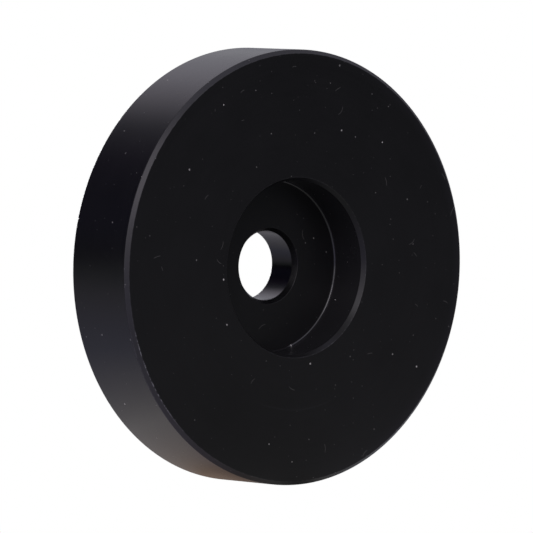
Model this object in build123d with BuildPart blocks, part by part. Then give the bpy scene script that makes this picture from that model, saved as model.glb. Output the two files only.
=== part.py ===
from build123d import *
import os

# Solid turned disc, standing upright on its rim: one piece of black engineering
# plastic, with a plain through-bore and a flat-bottomed counterbore in its front.
# Frame: origin at the centre of the disc's bounding box, the turning axis along Y,
# the counterbored front face towards -Y, the back face towards +Y, +Z up.
# All sizes in millimetres; every chamfer is at 45 degrees.

# Disc
RIM_DIAMETER = 50.0
THICKNESS = 10.0             # front face to back face
RIM_FRONT_CHAMFER = 0.45
RIM_BACK_CHAMFER = 0.3

# Counterbore
RECESS_DIAMETER = 20.0
RECESS_DEPTH = 5.2           # front face to counterbore floor
RECESS_MOUTH_CHAMFER = 0.45
RECESS_CORNER_RADIUS = 0.2   # between counterbore wall and floor

# Through-bore
BORE_DIAMETER = 8.0
BORE_BACK_CHAMFER = 0.6
LEAD_IN_DEPTH = 0.6          # steep cone from counterbore floor to bore, along the axis
LEAD_IN_WIDTH = 0.4          # the same cone, outwards from the bore

# Radii, and positions along the axis
RIM_RADIUS = RIM_DIAMETER / 2
RECESS_RADIUS = RECESS_DIAMETER / 2
BORE_RADIUS = BORE_DIAMETER / 2
FRONT_Y = -THICKNESS / 2
BACK_Y = THICKNESS / 2
FLOOR_Y = FRONT_Y + RECESS_DEPTH

# Half-section of the material, as (radius, y): along the bore to the back face,
# out to the rim, forward to the front face and down the counterbore wall
HALF_SECTION = [
    (BORE_RADIUS + LEAD_IN_WIDTH, FLOOR_Y),
    (BORE_RADIUS, FLOOR_Y + LEAD_IN_DEPTH),
    (BORE_RADIUS, BACK_Y - BORE_BACK_CHAMFER),
    (BORE_RADIUS + BORE_BACK_CHAMFER, BACK_Y),
    (RIM_RADIUS - RIM_BACK_CHAMFER, BACK_Y),
    (RIM_RADIUS, BACK_Y - RIM_BACK_CHAMFER),
    (RIM_RADIUS, FRONT_Y + RIM_FRONT_CHAMFER),
    (RIM_RADIUS - RIM_FRONT_CHAMFER, FRONT_Y),
    (RECESS_RADIUS + RECESS_MOUTH_CHAMFER, FRONT_Y),
    (RECESS_RADIUS, FRONT_Y + RECESS_MOUTH_CHAMFER),
    (RECESS_RADIUS, FLOOR_Y),
]

# Disc: the half-section, with X as the radius, turned once round the Y axis
with BuildPart() as disc:
    with BuildSketch(Plane.XY):
        with BuildLine():
            Polyline(*HALF_SECTION, close=True)
        make_face()
        # Round the one corner where the counterbore wall meets its floor
        recess_corner = [
            vertex
            for vertex in vertices()
            if abs(vertex.X - RECESS_RADIUS) < 1e-6 and abs(vertex.Y - FLOOR_Y) < 1e-6
        ]
        fillet(recess_corner, radius=RECESS_CORNER_RADIUS)
    revolve(axis=Axis.Y)

disc.part.label = "disc"

os.makedirs("parts", exist_ok=True)
export_step(disc.part, "parts/disc.step")
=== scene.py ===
"""A turned disc of black plastic with a counterbored through hole, standing on its rim.

The disc's axis lies along Y and passes through x = z = 0. The counterbored front face looks
towards -Y. Angles round the axis start at +X and pass over the top, +Z.
"""
import math
import random

import bpy
import numpy as np
from mathutils import Matrix, Vector


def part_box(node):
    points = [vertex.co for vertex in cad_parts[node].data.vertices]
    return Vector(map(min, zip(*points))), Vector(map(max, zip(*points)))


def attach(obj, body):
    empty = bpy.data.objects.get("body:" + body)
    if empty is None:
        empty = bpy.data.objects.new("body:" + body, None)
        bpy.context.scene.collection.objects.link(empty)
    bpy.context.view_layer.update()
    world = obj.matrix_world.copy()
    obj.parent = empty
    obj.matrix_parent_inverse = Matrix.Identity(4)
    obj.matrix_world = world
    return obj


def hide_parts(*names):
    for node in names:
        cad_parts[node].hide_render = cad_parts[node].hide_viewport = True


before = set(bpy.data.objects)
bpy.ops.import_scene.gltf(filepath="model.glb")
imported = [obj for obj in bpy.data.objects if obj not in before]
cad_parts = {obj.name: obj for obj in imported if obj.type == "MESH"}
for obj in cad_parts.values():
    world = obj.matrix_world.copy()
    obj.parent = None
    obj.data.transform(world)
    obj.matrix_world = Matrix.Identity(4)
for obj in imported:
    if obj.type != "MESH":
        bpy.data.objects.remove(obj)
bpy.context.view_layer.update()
low_corner, high_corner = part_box("disc")
scene = bpy.context.scene

# ------------------------------------------------------------------ sizes, in metres
MM = 0.001
RADIUS = (high_corner.x - low_corner.x) / 2
FRONT_Y = low_corner.y
BACK_Y = high_corner.y
GROUND_Z = low_corner.z
BORE_RADIUS = 4.0 * MM
RECESS_RADIUS = 10.0 * MM
RECESS_Y = FRONT_Y + 5.2 * MM        # floor of the counterbore
# Chamfers: "width" runs along the radius, "depth" along the axis.
FRONT_WIDTH = 0.45 * MM              # outer front edge
FRONT_DEPTH = 0.38 * MM
MOUTH_WIDTH = 0.38 * MM              # mouth of the counterbore
MOUTH_DEPTH = 0.52 * MM
BACK_CHAMFER = 0.3 * MM              # outer back edge, both ways
BORE_CHAMFER = 0.6 * MM              # back end of the bore both ways, front end along the axis
BORE_LIP_WIDTH = 0.4 * MM            # front end of the bore
FILLET = 0.2 * MM                    # inner corner of the counterbore
BREAK = 0.08 * MM                    # rounding left on most edges
SEGMENTS = 720                       # even steps round the axis
LONGEST_RUN = 4.0 * MM               # straight runs of the profile are cut no longer than this
EDGE_RINGS = (0.07 * MM, 0.16 * MM, 0.32 * MM)   # extra rings beside edges, to carry the knocks

FRONT_CHAMFER_RADIUS = RADIUS - FRONT_WIDTH      # where the front chamfer meets the face
FRONT_CHAMFER_Y = FRONT_Y + FRONT_DEPTH          # where it meets the rim

# Zones of the surface, in material slot order:
# colour multiplier, which paints in light and shade zone by zone (lighter recess wall, corner
# highlight and chamfers, darker bore lip), roughness, height of the tool marks in mm
ZONES = {
    "floor": (1.1, 0.33, 0.00018),
    "corner": (2.5, 0.14, 0.0002),
    "wall": (2.0, 0.26, 0.00004),
    "mouth": (1.0, 0.30, 0.0002),
    "face": (1.15, 0.36, 0.00016),
    "chamfer": (3.2, 0.30, 0.0002),
    "rim": (1.0, 0.24, 0.00016),
    "back_edge": (2.2, 0.30, 0.0002),
    "back": (1.6, 0.38, 0.00022),
    "bore_edge": (1.0, 0.30, 0.0002),
    "bore": (1.0, 0.17, 0.0009),
    "bore_lip": (0.9, 0.22, 0.0002),
}
ZONE_NAMES = list(ZONES)
FLAT = ("face", "floor", "back")
SLOPED = ("chamfer", "mouth", "back_edge", "bore_edge")
KNOCKED = ("face", "chamfer", "rim", "back_edge", "back")
DUSTY = ("face", "floor", "rim", "back", "chamfer", "wall")

# Corners of the closed profile: radius, y, rounding, steps, zone of the run that follows
CORNERS = [
    (BORE_RADIUS + BORE_LIP_WIDTH, RECESS_Y, BREAK, 3, "floor"),
    (RECESS_RADIUS, RECESS_Y, FILLET, 10, "wall"),
    (RECESS_RADIUS, FRONT_Y + MOUTH_DEPTH, BREAK, 4, "mouth"),
    (RECESS_RADIUS + MOUTH_WIDTH, FRONT_Y, BREAK, 4, "face"),
    (FRONT_CHAMFER_RADIUS, FRONT_Y, 0.12 * MM, 4, "chamfer"),
    (RADIUS, FRONT_CHAMFER_Y, 0.16 * MM, 4, "rim"),
    (RADIUS, BACK_Y - BACK_CHAMFER, BREAK, 4, "back_edge"),
    (RADIUS - BACK_CHAMFER, BACK_Y, BREAK, 4, "back"),
    (BORE_RADIUS + BORE_CHAMFER, BACK_Y, BREAK, 3, "bore_edge"),
    (BORE_RADIUS, BACK_Y - BORE_CHAMFER, BREAK, 3, "bore"),
    (BORE_RADIUS, RECESS_Y + BORE_CHAMFER, BREAK, 3, "bore_lip"),
]


# ------------------------------------------------------------------ profile
def unit(vector):
    return vector / np.linalg.norm(vector)


def corner_arc(before, corner, after, radius, steps):
    """Rounds one corner; returns (place, outward normal) pairs in the (radius, y) plane."""
    to_before = unit(before - corner)
    to_after = unit(after - corner)
    half_angle = math.acos(float(to_before @ to_after)) / 2
    setback = radius / math.tan(half_angle)
    centre = corner + unit(to_before + to_after) * (radius / math.sin(half_angle))
    first = corner + to_before * setback - centre
    last = corner + to_after * setback - centre
    start_angle = math.atan2(first[1], first[0])
    sweep = (math.atan2(last[1], last[0]) - start_angle + math.pi) % (2 * math.pi) - math.pi
    # the profile heads along -to_before, with the outside on its right
    outside = np.array((-to_before[1], to_before[0]))
    sign = 1.0 if float(outside @ first) > 0 else -1.0
    arc = []
    for k in range(steps + 1):
        angle = start_angle + sweep * k / steps
        spoke = np.array((math.cos(angle), math.sin(angle)))
        arc.append((centre + radius * spoke, sign * spoke))
    return arc


def run_cuts(length, zone):
    """Where a straight run is cut, as shares of its length."""
    pieces = max(1, math.ceil(length / LONGEST_RUN))
    cuts = {k / pieces for k in range(1, pieces)}
    if zone in KNOCKED:
        for distance in EDGE_RINGS:
            if distance < length * 0.45:
                cuts |= {distance / length, 1 - distance / length}
    return sorted(cuts)


def turned_profile():
    """Returns an array of (radius, y, normal radius, normal y) and the zone after each point."""
    count = len(CORNERS)
    places = [np.array(corner[:2]) for corner in CORNERS]
    arcs = [corner_arc(places[i - 1], places[i], places[(i + 1) % count], *CORNERS[i][2:4])
            for i in range(count)]
    rows, zones = [], []
    for i, (_, _, radius, steps, zone) in enumerate(CORNERS):
        for k, (place, normal) in enumerate(arcs[i]):
            rows.append((*place, *normal))
            if radius == FILLET and k < steps:
                zones.append("corner")
            else:
                zones.append(CORNERS[i - 1][4] if k < steps / 2 else zone)
        start, normal = arcs[i][-1]
        end = arcs[(i + 1) % count][0][0]
        for share in run_cuts(np.linalg.norm(end - start), zone):
            rows.append((*(start + (end - start) * share), *normal))
            zones.append(zone)
    return np.array(rows), zones


# ------------------------------------------------------------------ knocks
# Outer edges that carry knocks: radius, y
EDGES = {
    "front_in": (FRONT_CHAMFER_RADIUS, FRONT_Y),
    "front_out": (RADIUS, FRONT_CHAMFER_Y),
    "back": (RADIUS, BACK_Y - BACK_CHAMFER),
}
CLUSTER_ANGLES = (195.5, 199.0, 201.5, 206.0, 212.5, 215.0, 219.5)   # low on the -X side


def make_knocks():
    """Returns knocks: angle in degrees, edge, then depth, length and width in mm."""
    rng = random.Random(4117)
    knocks = []
    for _ in range(14):
        knocks.append((rng.uniform(0, 360),
                       rng.choice(["front_in", "front_out", "front_in", "back"]),
                       rng.uniform(0.012, 0.035), rng.uniform(0.07, 0.16),
                       rng.uniform(0.06, 0.11)))
    for angle in CLUSTER_ANGLES:
        knocks.append((angle + rng.uniform(-1, 1), "front_in",
                       rng.uniform(0.015, 0.035), rng.uniform(0.08, 0.18), 0.07))
    knocks.append((166.0, "back", 0.04, 0.12, 0.10))
    knocks.append((151.0, "back", 0.04, 0.10, 0.09))
    return knocks


def lathe_angles(knocks):
    """Even steps round the axis in degrees, with finer steps at each knock."""
    angles = {round(k * 360.0 / SEGMENTS, 4) for k in range(SEGMENTS)}
    for knock in knocks:
        angles |= {round((knock[0] + k * 0.09) % 360.0, 4) for k in range(-5, 6)}
    angles = sorted(angles)
    return [a for i, a in enumerate(angles) if i == 0 or a - angles[i - 1] > 0.01]


def press(points, normals, worn, angle, edge, depth, length, width):
    """Presses one knock inwards; length runs round the edge and width across it."""
    turn = math.radians(angle)
    radius, y = EDGES[edge]
    centre = np.array((radius * math.cos(turn), y, radius * math.sin(turn)))
    tangent = np.array((-math.sin(turn), 0.0, math.cos(turn)))
    offset = points - centre
    along = offset @ tangent
    across = np.linalg.norm(offset - np.outer(along, tangent), axis=1)
    weight = (np.exp(-((along / (length * MM)) ** 2) * 2)
              * np.exp(-((across / (width * MM)) ** 2) * 2))
    weight[weight < 0.03] = 0
    points -= normals * (weight * (depth * MM))[:, None]
    np.maximum(worn, weight, out=worn)


# ------------------------------------------------------------------ turned body
def lathe(angles):
    """Turns the profile round Y; returns the mesh, its points and their smooth normals."""
    profile, profile_zones = turned_profile()
    count, segments = len(profile), len(angles)
    turn = np.radians(np.array(angles))
    cos, sin = np.cos(turn)[:, None], np.sin(turn)[:, None]

    def spin(radius, y):
        y = np.broadcast_to(y, (segments, count))
        return np.stack([radius * cos, y, radius * sin], -1).reshape(-1, 3)

    radius, y, normal_radius, normal_y = profile.T
    points = spin(radius, y)
    normals = spin(normal_radius, normal_y)
    here = np.arange(segments) * count
    ahead = (np.arange(segments) + 1) % segments * count
    faces = []
    for k in range(count):
        k_next = (k + 1) % count
        faces.append(np.stack([here + k, ahead + k, ahead + k_next, here + k_next], -1))
    zones = np.repeat([ZONE_NAMES.index(zone) for zone in profile_zones], segments)
    mesh = bpy.data.meshes.new("turned_disc")
    mesh.from_pydata(points.tolist(), [], np.concatenate(faces).tolist())
    mesh.update()
    # the faces must look outwards, judged by one on the rim
    rim_face = mesh.polygons[int(np.flatnonzero(zones == ZONE_NAMES.index("rim"))[0])]
    if rim_face.normal.x * rim_face.center.x + rim_face.normal.z * rim_face.center.z < 0:
        mesh.flip_normals()
    mesh.polygons.foreach_set("material_index", zones.astype(np.int32))
    mesh.polygons.foreach_set("use_smooth", np.ones(len(zones), bool))
    return mesh, points, normals


def vertex_normals(mesh):
    mesh.update()
    normals = np.zeros(len(mesh.vertices) * 3, np.float32)
    mesh.vertices.foreach_get("normal", normals)
    return normals.reshape(-1, 3)


def build_disc():
    knocks = make_knocks()
    mesh, points, normals = lathe(lathe_angles(knocks))
    plain = vertex_normals(mesh)
    worn = np.zeros(len(points))
    for knock in knocks:
        press(points, normals, worn, *knock)
    mesh.vertices.foreach_set("co", points.astype(np.float32).ravel())
    # knocked vertices bend their turned normals by what the knock changed
    bent = normals + (vertex_normals(mesh) - plain)
    bent /= np.linalg.norm(bent, axis=1)[:, None]
    normals = np.where((worn > 0)[:, None], bent, normals)
    mesh.normals_split_custom_set_from_vertices(normals.tolist())
    mesh.attributes.new("worn", "FLOAT", "POINT").data.foreach_set(
        "value", worn.astype(np.float32))
    disc = bpy.data.objects.new("turned_disc", mesh)
    scene.collection.objects.link(disc)
    return disc


# ------------------------------------------------------------------ node helpers
class Value:
    """A node output; arithmetic on it adds Math nodes."""

    def __init__(self, tree, socket):
        self.tree = tree
        self.socket = socket

    def __add__(self, other):
        return self.tree.math("ADD", self, other)

    def __radd__(self, other):
        return self.tree.math("ADD", other, self)

    def __sub__(self, other):
        return self.tree.math("SUBTRACT", self, other)

    def __rsub__(self, other):
        return self.tree.math("SUBTRACT", other, self)

    def __mul__(self, other):
        return self.tree.math("MULTIPLY", self, other)

    def __truediv__(self, other):
        return self.tree.math("DIVIDE", self, other)

    def __abs__(self):
        return self.tree.math("ABSOLUTE", self)


class Tree:
    """Short words for building a node tree, which it empties first."""

    def __init__(self, owner):
        owner.use_nodes = True
        self.tree = owner.node_tree
        self.tree.nodes.clear()

    def node(self, kind, **settings):
        node = self.tree.nodes.new(kind)
        for name, value in settings.items():
            setattr(node, name, value)
        return node

    def out(self, node, key=0):
        return Value(self, node.outputs[key])

    def put(self, socket, value):
        """Links a Value to the socket, or sets a constant."""
        if isinstance(value, Value):
            self.tree.links.new(value.socket, socket)
        else:
            socket.default_value = value

    def fill(self, node, *values):
        """Fills the first inputs in order and returns the first output."""
        for socket, value in zip(node.inputs, values):
            self.put(socket, value)
        return self.out(node)

    def math(self, operation, *values, clamp=False):
        node = self.node("ShaderNodeMath", operation=operation, use_clamp=clamp)
        return self.fill(node, *values)

    def length(self, a, b):
        return self.math("SQRT", a * a + b * b)

    def add_vectors(self, a, b):
        return self.fill(self.node("ShaderNodeVectorMath", operation="ADD"), a, b)

    def scale_vector(self, vector, scale):
        node = self.node("ShaderNodeVectorMath", operation="SCALE")
        self.put(node.inputs["Scale"], scale)
        return self.fill(node, vector)

    def xyz(self, x, y, z):
        return self.fill(self.node("ShaderNodeCombineXYZ"), x, y, z)

    def split(self, vector, kind="ShaderNodeSeparateXYZ"):
        node = self.node(kind)
        self.put(node.inputs[0], vector)
        return [self.out(node, i) for i in range(3)]

    def noise(self, vector, scale, detail, rough):
        node = self.node("ShaderNodeTexNoise")
        self.put(node.inputs["Vector"], vector)
        self.put(node.inputs["Scale"], scale)
        self.put(node.inputs["Detail"], detail)
        self.put(node.inputs["Roughness"], rough)
        return self.out(node)

    def step(self, value, start, end, low=0.0, high=1.0, kind="SMOOTHSTEP"):
        """low up to start, high from end on."""
        node = self.node("ShaderNodeMapRange", interpolation_type=kind)
        return self.fill(node, value, start, end, low, high)

    def fade(self, value, start, end):
        """1 up to start, 0 from end on."""
        return self.step(value, start, end, 1.0, 0.0)

    def near(self, value, centre, inner, outer):
        """1 within inner of centre, 0 beyond outer."""
        return self.fade(abs(value - centre), inner, outer)

    def window(self, value, start, full, fall, end):
        """0 outside start to end, 1 from full to fall."""
        return self.step(value, start, full) * self.fade(value, fall, end)

    def mix(self, factor, first, second):
        node = self.node("ShaderNodeMix", data_type="RGBA")
        # of a Mix node's sockets, inputs 6 and 7 and output 2 are the colours
        for index, value in ((0, factor), (6, first), (7, second)):
            self.put(node.inputs[index], value)
        return self.out(node, 2)

    def mix_shader(self, factor, first, second):
        return self.fill(self.node("ShaderNodeMixShader"), factor, first, second)


# ------------------------------------------------------------------ plastic
BLACK = (0.0081, 0.0080, 0.0086)
# PALE also colours the painted highlight lines along the front chamfer's edges.
PALE = (0.20, 0.20, 0.21, 1)             # the plastic where it is torn
# the tint of the painted glow along the face's +X margin
GLOW_TINT = (0.50, 0.48, 0.62, 1)
DUST = (0.80, 0.78, 0.74, 1)
IOR = 1.49
FEED_PITCH = 0.22 * MM                   # spacing of the tool's feed marks
GRAIN_HEIGHT = 0.00025 * MM
SCUFF_RADIUS = 16.3 * MM

# Dust specks: cells per metre, share of cells filled, speck radius in mm, faintest, strongest
SPECKS = (
    (175.0, 0.30, 0.100, 0.12, 0.95),
    (340.0, 0.36, 0.075, 0.04, 0.45),
    (720.0, 0.26, 0.050, 0.02, 0.20),
)
FIBRE_CELLS = 165.0                      # cells per metre
CELL_SHIFT = (0.0031, -0.0017)           # moves each cell pattern, times its cells per metre


class Surface:
    """Coordinates and shared textures of one zone, in object space."""

    def __init__(self, tree, zone):
        self.zone = zone
        self.position = tree.out(tree.node("ShaderNodeTexCoord"), "Object")
        self.x, self.y, self.z = tree.split(self.position)
        self.radius = tree.length(self.x, self.z)
        self.cos = self.x / self.radius
        self.sin = self.z / self.radius
        self.theta = tree.math("ARCTAN2", self.z, self.x)
        # the way the tool travelled
        self.feed = self.radius if zone in FLAT + SLOPED else self.y
        # streaks follow the cut round the axis, broken into long arcs
        self.streak = tree.noise(self.ring(tree, 2600.0, 2.2), scale=1.0, detail=3.0, rough=0.6)
        self.cloud = tree.noise(self.position, scale=130.0, detail=3.0, rough=0.55)

    def ring(self, tree, across, around):
        """Texture place stretched round the axis."""
        return tree.xyz(self.feed * across, self.cos * around, self.sin * around)

    def breaks(self, tree, around, layer):
        """Noise that varies round the axis only."""
        place = tree.xyz(self.cos * around, self.sin * around, layer)
        return tree.noise(place, scale=1.0, detail=4.0, rough=0.7)


def tool_marks(tree, at, relief):
    """Height of the feed marks, streaks and grain, in metres."""
    band = tree.noise(at.ring(tree, 700.0, 0.9), scale=1.0, detail=2.0, rough=0.5)
    grain = tree.noise(at.position, scale=5200.0, detail=2.0, rough=0.6)
    ridge = tree.math("SINE", at.feed * (2 * math.pi / FEED_PITCH))
    height = ridge * band * (relief * MM * 0.5)
    height = height + at.streak * (relief * MM * 2.2)
    return height + grain * GRAIN_HEIGHT


def front_edge_highlight(tree, at):
    """Painted highlight: broken pale lines along both edges of the front chamfer, brightest low
    on the -X side.
    """
    inner = tree.near(at.radius, FRONT_CHAMFER_RADIUS, 0.02 * MM, 0.08 * MM)
    outer = tree.near(at.y, FRONT_CHAMFER_Y, 0.01 * MM, 0.06 * MM)
    outer = outer * tree.step(at.radius, RADIUS - 0.1 * MM, RADIUS - 0.02 * MM)
    line = tree.math("MAXIMUM", inner, outer * 0.2)
    brightest = tree.window(at.theta, -2.93, -2.80, -2.50, -2.33)
    line = line * (brightest * 0.88 + 0.12)
    return line * tree.step(at.breaks(tree, 38.0, 3.0), 0.44, 0.60)


def mouth_wear(tree, at):
    """A broken, faint pale line round the mouth of the counterbore."""
    line = tree.near(at.y, FRONT_Y + 0.03 * MM, 0.0, 0.07 * MM)
    return line * 0.35 * tree.step(at.breaks(tree, 24.0, 5.0), 0.45, 0.7)


def face_scuff_and_glow(tree, at, colour):
    """Adds a faint scuff low on the face and a painted glow, paler and cooler, along its margin
    on the +X side.
    """
    middle = SCUFF_RADIUS + (at.cloud - 0.5) * (0.25 * MM)
    scuff = tree.near(at.radius, middle, 0.03 * MM, 0.16 * MM)
    scuff = scuff * tree.window(at.theta, -2.05, -1.75, -1.45, -1.15)
    scuff = scuff * tree.step(at.streak, 0.35, 0.7, low=0.3, high=1.0)
    colour = tree.mix(scuff * 0.05, colour, PALE)
    # painted glow: lighter and cooler towards the outer edge on the +X side
    painted_glow = tree.step(at.radius, RADIUS - 1.7 * MM, RADIUS - 0.4 * MM)
    painted_glow = painted_glow * tree.step(at.cos, 0.2, 0.7)
    return tree.mix(painted_glow * 0.012, colour, GLOW_TINT)


def dust_cells(tree, place, scale):
    """Returns a shifted cell pattern and three random values per cell."""
    cells = tree.node("ShaderNodeTexVoronoi", voronoi_dimensions="2D", feature="F1")
    shift = (scale * CELL_SHIFT[0], scale * CELL_SHIFT[1], 0.0)
    tree.put(cells.inputs["Vector"], tree.add_vectors(place, shift))
    tree.put(cells.inputs["Scale"], scale)
    return cells, tree.split(tree.out(cells, "Color"), "ShaderNodeSeparateColor")


def dust_fibres(tree, at, place, crowd):
    """Short bent fibres, at most one per cell."""
    cells, (chance, tilt, shape) = dust_cells(tree, place, FIBRE_CELLS)
    centre_x, centre_z, _ = tree.split(tree.out(cells, "Position"))
    x = at.x + FIBRE_CELLS * CELL_SHIFT[0] - centre_x
    z = at.z + FIBRE_CELLS * CELL_SHIFT[1] - centre_z
    tilt = tilt * 6.2832                 # up to a full turn
    cos, sin = tree.math("COSINE", tilt), tree.math("SINE", tilt)
    along = x * cos + z * sin
    across = z * cos - x * sin
    bend = (tree.math("FRACT", shape * 7.3) - 0.5) * 1300.0
    across = across - bend * (along * along)
    fibre = tree.fade(abs(across), 0.018 * MM, 0.045 * MM)
    half_length = shape * (0.45 * MM) + 0.22 * MM
    fibre = fibre * tree.fade(abs(along) / half_length, 0.7, 1.0)
    fibre = fibre * tree.math("LESS_THAN", chance, 0.50 + crowd)
    return fibre * 0.11


def dust(tree, at):
    """Specks of three sizes, unevenly spread, with fibres on the flat zones."""
    flat = at.zone in FLAT
    if flat or at.zone in SLOPED:
        place = tree.xyz(at.x, at.z, 0.0)
    else:
        place = tree.xyz(at.theta * RADIUS, at.y, 0.0)
    jitter = tree.noise(place, scale=4200.0, detail=2.0, rough=0.6)
    crowd = tree.noise(place, scale=85.0, detail=2.0, rough=0.5)
    if flat:                             # denser towards +X and the top
        crowd = crowd + (at.x + at.z) * 2.2
    crowd = (crowd - 0.5) * 0.9
    density = 1.0 if flat else 0.6
    specks = None
    for scale, share, radius, faintest, strongest in SPECKS:
        cells, (chance, spread, power) = dust_cells(tree, place, scale)
        size = (spread * 0.6 + 0.6) * (radius * MM * scale)
        size = size * (jitter * 1.6 + 0.2)
        speck = tree.fade(tree.out(cells, "Distance") / size, 0.70, 1.20)
        kept = crowd * (share * 1.6) + share * density
        speck = speck * tree.math("LESS_THAN", chance, kept)
        power = tree.math("POWER", power, 2.0) * (strongest - faintest) + faintest
        speck = speck * power
        specks = speck if specks is None else tree.math("MAXIMUM", specks, speck)
    if flat:
        specks = tree.math("MAXIMUM", specks, dust_fibres(tree, at, place, crowd))
    return specks


def plastic(zone):
    """The black plastic as one zone of the disc shows it."""
    tone_with_painted_light, roughness, relief = ZONES[zone]
    material = bpy.data.materials.new("black_plastic_" + zone)
    tree = Tree(material)
    output = tree.node("ShaderNodeOutputMaterial")
    bsdf = tree.node("ShaderNodeBsdfPrincipled")
    tree.fill(bsdf)
    tree.put(output.inputs[0], tree.out(bsdf))
    at = Surface(tree, zone)

    shade = (at.cloud - 0.5) * 0.45 + (at.streak - 0.5) * 0.25 + 1.0
    # each zone's colour multiplier paints in that zone's light and shade
    colour = tree.scale_vector(BLACK, shade * tone_with_painted_light)
    roughness = roughness + (at.streak - 0.5) * (0.02 if zone == "wall" else 0.07)
    roughness = roughness + (at.cloud - 0.5) * 0.06

    edge_wear_and_highlight = None
    # pale edge lines: a painted highlight on the front chamfer's edges, real wear round the
    # mouth
    if zone in ("face", "chamfer", "rim"):
        edge_wear_and_highlight = front_edge_highlight(tree, at)
    elif zone in ("mouth", "wall"):
        edge_wear_and_highlight = mouth_wear(tree, at)
    if edge_wear_and_highlight is not None:
        colour = tree.mix(edge_wear_and_highlight, colour, PALE)
        roughness = roughness + edge_wear_and_highlight * 0.15
    if zone == "corner":                 # one grain of dust, low down
        grain = tree.step(abs(at.theta + 1.225), 0.004, 0.013, low=0.5, high=0.0)
        colour = tree.mix(grain, colour, DUST)
    if zone in KNOCKED:                  # knocks show paler plastic
        worn = tree.out(tree.node("ShaderNodeAttribute", attribute_name="worn"), "Fac")
        colour = tree.mix(tree.step(worn, 0.25, 0.85) * 0.9, colour, PALE)
    if zone == "face":
        colour = face_scuff_and_glow(tree, at, colour)
    if zone in DUSTY:
        specks = dust(tree, at)
        colour = tree.mix(specks, colour, DUST)
        roughness = tree.math("ADD", roughness, specks * 0.5, clamp=True)

    ior = IOR
    if zone == "corner":                 # glossier on the +X side of the grain of dust
        ior = tree.step(at.theta, -1.30, -1.22, low=1.15, high=1.85)
    bump = tree.node("ShaderNodeBump")
    tree.put(bump.inputs["Strength"], 1.0)
    tree.put(bump.inputs["Distance"], 1.0)
    tree.put(bump.inputs["Height"], tool_marks(tree, at, relief))
    tree.put(bsdf.inputs["Base Color"], colour)
    tree.put(bsdf.inputs["Roughness"], roughness)
    tree.put(bsdf.inputs["IOR"], ior)
    tree.put(bsdf.inputs["Normal"], tree.out(bump))
    return material


disc = build_disc()
for zone in ZONES:
    disc.data.materials.append(plastic(zone))
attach(disc, "root")
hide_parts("disc")

# ------------------------------------------------------------------ studio
# The camera sees a plain white floor and backdrop. The disc reflects soft patches instead,
# each with its own brightness in the tables below, as red, green, blue.
DEGREES = 180 / math.pi

# Surroundings behind: degrees round the disc's axis, from +X over the top
BACK_SKY = {
    0: (0.08, 0.08, 0.14), 20: (0.49, 0.49, 0.53), 40: (0.56, 0.55, 0.62),
    60: (0.73, 0.70, 0.80), 80: (0.61, 0.57, 0.66), 100: (0.12, 0.12, 0.15),
    120: (0.03, 0.02, 0.05), 140: (0.00, 0.00, 0.02), 160: (0.01, 0.01, 0.04),
    180: (0.0, 0.0, 0.0),
}
# Surroundings in front: degrees from -X through -Y to +X, one colour per rise
RISES = (0, 20, 40, 65)                  # degrees above the horizon
FRONT_SKY = {
    -90: ((0.81, 0.79, 0.89), (0.85, 0.82, 0.94), (0.76, 0.75, 0.84), (0.60, 0.58, 0.67)),
    -60: ((0.76, 0.73, 0.82), (0.75, 0.72, 0.80), (0.55, 0.56, 0.58), (0.14, 0.15, 0.13)),
    -30: ((0.64, 0.60, 0.68), (0.61, 0.56, 0.64), (0.82, 0.77, 0.88), (0.31, 0.29, 0.34)),
    0: ((0.28, 0.27, 0.29), (0.21, 0.21, 0.20), (0.57, 0.56, 0.65), (0.49, 0.48, 0.60)),
    40: ((0.09, 0.09, 0.08), (0.08, 0.08, 0.07), (0.43, 0.42, 0.53), (0.46, 0.45, 0.58)),
    90: ((0.17, 0.16, 0.18), (0.24, 0.23, 0.27), (0.43, 0.42, 0.51), (0.32, 0.31, 0.32)),
}
# The floor glows with the colours below as a painted light; the darker, browner colours at 8 mm
# are painted shade beside the disc.
# Floor behind: millimetres from the origin, colours on the -X and +X sides
BACK_FLOOR = {
    8: ((0.33, 0.24, 0.19), (0.36, 0.34, 0.36)),
    20: ((0.64, 0.60, 0.61), (0.44, 0.43, 0.50)),
    50: ((0.30, 0.30, 0.40), (0.36, 0.35, 0.39)),
    130: ((0.25, 0.24, 0.28), (0.02, 0.00, 0.00)),
    400: ((0.10, 0.11, 0.11), (0.04, 0.03, 0.03)),
}
# The dim colours 20 and 50 mm out at -25 and 25 degrees are the disc's painted shadow.
# Floor in front: millimetres from the origin, one colour per side angle
SIDES = (-75, -25, 25, 75)               # degrees from -Y, positive towards +X
FRONT_FLOOR = {
    8: ((0.20, 0.14, 0.12), (0.33, 0.33, 0.33), (0.26, 0.25, 0.25), (0.36, 0.36, 0.38)),
    20: ((0.45, 0.40, 0.50), (0.09, 0.11, 0.11), (0.14, 0.14, 0.14), (0.41, 0.41, 0.46)),
    50: ((0.41, 0.39, 0.52), (0.14, 0.15, 0.14), (0.09, 0.09, 0.07), (0.28, 0.27, 0.32)),
    130: ((0.33, 0.30, 0.45), (0.24, 0.23, 0.33), (0.20, 0.20, 0.21), (0.14, 0.14, 0.17)),
    400: ((0.30, 0.29, 0.38), (0.22, 0.21, 0.31), (0.00, 0.01, 0.03), (0.0, 0.0, 0.0)),
}


def tents(tree, value, centres):
    """One weight per centre: 1 there, 0 at its neighbours, held at 1 past either end."""
    weights = []
    for i, centre in enumerate(centres):
        slopes = []
        if i > 0:
            slopes.append(tree.step(value, centres[i - 1], centre, kind="LINEAR"))
        if i + 1 < len(centres):
            slopes.append(tree.step(value, centre, centres[i + 1], 1.0, 0.0, kind="LINEAR"))
        weights.append(slopes[0] if len(slopes) == 1 else tree.math("MINIMUM", *slopes))
    return weights


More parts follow.
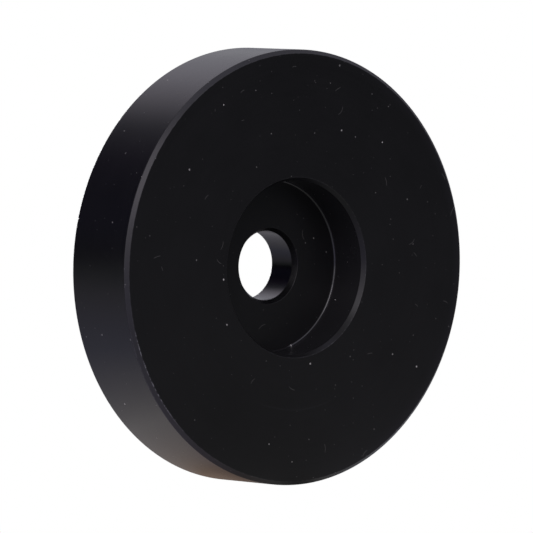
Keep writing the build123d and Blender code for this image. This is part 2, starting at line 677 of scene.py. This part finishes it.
def total(tree, patches):
    """Sum of colour times weight over (name, colour, weight) patches."""
    result = None
    for name, colour, weight in patches:
        gain = tree.xyz(*colour)
        gain.socket.node.name = "gain_" + name
        term = tree.scale_vector(gain, weight)
        result = term if result is None else tree.add_vectors(result, term)
    return result


def white_to_camera(tree, kind, colour):
    """Emits colour, but plain white to camera rays."""
    reflected = tree.fill(tree.node(kind), colour)
    seen = tree.fill(tree.node(kind), (1, 1, 1, 1))
    camera_ray = tree.out(tree.node("ShaderNodeLightPath"), "Is Camera Ray")
    return tree.mix_shader(camera_ray, reflected, seen)


def floor_material():
    material = bpy.data.materials.new("floor")
    tree = Tree(material)
    output = tree.node("ShaderNodeOutputMaterial")
    geometry = tree.node("ShaderNodeNewGeometry")
    x, y, _ = tree.split(tree.out(geometry, "Position"))
    x, y = x * 1000.0, y * 1000.0        # millimetres from here on
    distance = tree.math("MAXIMUM", tree.length(x, y), 1.0)
    behind = tree.step(y, -5.0, 5.0)
    ahead = 1.0 - behind
    side = tree.math("ARCTAN2", x, abs(y)) * DEGREES
    right = tree.step(side, -35.0, 35.0)
    left = 1.0 - right
    rings = tents(tree, tree.math("LOGARITHM", distance, 2.0),
                  [math.log2(reach) for reach in BACK_FLOOR])
    side_weights = tents(tree, side, SIDES)
    patches = []
    for reach, ring in zip(BACK_FLOOR, rings):
        ring_behind = ring * behind
        left_colour, right_colour = BACK_FLOOR[reach]
        patches.append((f"fb_left_{reach}", left_colour, ring_behind * left))
        patches.append((f"fb_right_{reach}", right_colour, ring_behind * right))
        ring_ahead = ring * ahead
        for angle, colour, weight in zip(SIDES, FRONT_FLOOR[reach], side_weights):
            patches.append((f"ff_{angle}_{reach}", colour, ring_ahead * weight))
    # contact shadow round the line the disc stands on, 4.5 mm either way along Y
    off_line = tree.math("MAXIMUM", abs(y) - 4.5, 0.0)
    gap = tree.length(x, off_line)
    contact = (tree.step(gap, 0.5, 5.0, low=0.4, high=1.0)
               * tree.step(gap, 0.0, 0.35, low=0.3, high=1.0))
    colour = tree.scale_vector(total(tree, patches), contact)
    surface = white_to_camera(tree, "ShaderNodeEmission", colour)
    # from below the floor is clear
    clear = tree.out(tree.node("ShaderNodeBsdfTransparent"))
    backfacing = tree.out(geometry, "Backfacing")
    tree.put(output.inputs[0], tree.mix_shader(backfacing, surface, clear))
    return material


def build_floor(reach=6):
    mesh = bpy.data.meshes.new("floor")
    outline = ((-reach, -reach), (reach, -reach), (reach, reach), (-reach, reach))
    mesh.from_pydata([(x, y, GROUND_Z) for x, y in outline], [], [(0, 1, 2, 3)])
    floor = bpy.data.objects.new("floor", mesh)
    scene.collection.objects.link(floor)
    mesh.materials.append(floor_material())


def build_world():
    world = bpy.data.worlds.new("studio")
    scene.world = world
    tree = Tree(world)
    output = tree.node("ShaderNodeOutputWorld")
    x, y, z = tree.split(tree.out(tree.node("ShaderNodeTexCoord"), "Generated"))
    back = tree.step(y, 0.35, 0.65)
    front = 1.0 - back
    turn = tree.math("ARCTAN2", z, x) * DEGREES
    # below the horizon on the -X side the turn is held at 180
    low_left = tree.math("LESS_THAN", x, 0.0) * tree.math("LESS_THAN", z, 0.0)
    turn = tree.math("MAXIMUM", turn, low_left * 180.0)
    side = tree.math("ARCTAN2", x, y * -1.0) * DEGREES
    rise = tree.math("ARCSINE", z) * DEGREES
    patches = []
    for angle, weight in zip(BACK_SKY, tents(tree, turn, list(BACK_SKY))):
        patches.append((f"wb_{angle}", BACK_SKY[angle], weight * back))
    rise_weights = tents(tree, rise, RISES)
    for angle, weight in zip(FRONT_SKY, tents(tree, side, list(FRONT_SKY))):
        column = weight * front
        for height, colour, rise_weight in zip(RISES, FRONT_SKY[angle], rise_weights):
            patches.append((f"wf_{angle}_{height}", colour, column * rise_weight))
    sky = white_to_camera(tree, "ShaderNodeBackground", total(tree, patches))
    tree.put(output.inputs[0], sky)


def panel(name, direction, distance, width, height, gain):
    """A soft box in a direction from the origin, facing it; gain is its brightness."""
    direction = Vector(direction).normalized()
    peak = max(*gain, 1e-6)
    light = bpy.data.lights.new(name, "AREA")
    light.shape = "RECTANGLE"
    light.size, light.size_y = width, height
    light.energy = math.pi * width * height * peak
    light.color = [channel / peak for channel in gain]
    lamp = bpy.data.objects.new(name, light)
    lamp.location = direction * distance
    lamp.rotation_mode = "QUATERNION"
    lamp.rotation_quaternion = (-direction).to_track_quat("-Z", "Y")
    lamp.visible_camera = False
    scene.collection.objects.link(lamp)


build_floor()
build_world()
panel("key", direction=(-0.62, -0.58, 0.53), distance=0.8, width=0.40, height=0.40,
      gain=(1.37, 1.27, 1.40))
# the overhead panel is dark
panel("overhead", direction=(0.05, 0.1, 1.0), distance=0.9, width=0.9, height=0.9,
      gain=(0.0, 0.0, 0.0))
# fills the back only
panel("rear", direction=(0.30, 0.95, 0.08), distance=0.6, width=0.30, height=0.09,
      gain=(16.0, 15.8, 16.4))

# ------------------------------------------------------------------ camera
AZIMUTH = math.radians(39.458)           # view direction, turned from +Y towards +X
ELEVATION = math.radians(3.155)          # looking down
DISTANCE = 0.8925
SHIFT_LEFT = 3.51 * MM                   # camera offsets from the centre of the front face
SHIFT_UP = 0.13 * MM
FOCAL_LENGTH = 526.063947                # mm, on a 36 mm sensor


def build_camera():
    right = Vector((math.cos(AZIMUTH), -math.sin(AZIMUTH), 0))
    forward = Vector((math.sin(AZIMUTH) * math.cos(ELEVATION),
                      math.cos(AZIMUTH) * math.cos(ELEVATION), -math.sin(ELEVATION)))
    up = right.cross(forward)
    face_centre = Vector((0, FRONT_Y, 0))
    place = face_centre - right * SHIFT_LEFT + up * SHIFT_UP - forward * DISTANCE
    data = bpy.data.cameras.new("camera")
    data.sensor_width = 36.0
    data.lens = FOCAL_LENGTH
    data.clip_start, data.clip_end = 0.01, 50
    camera = bpy.data.objects.new("camera", data)
    turn = Matrix((right, up, -forward)).transposed().to_4x4()
    camera.matrix_world = Matrix.Translation(place) @ turn
    scene.collection.objects.link(camera)
    scene.camera = camera


build_camera()
scene.view_settings.view_transform = "Standard"
scene.view_settings.look = "None"
scene.view_settings.exposure = 0.0
scene.view_settings.gamma = 1.0
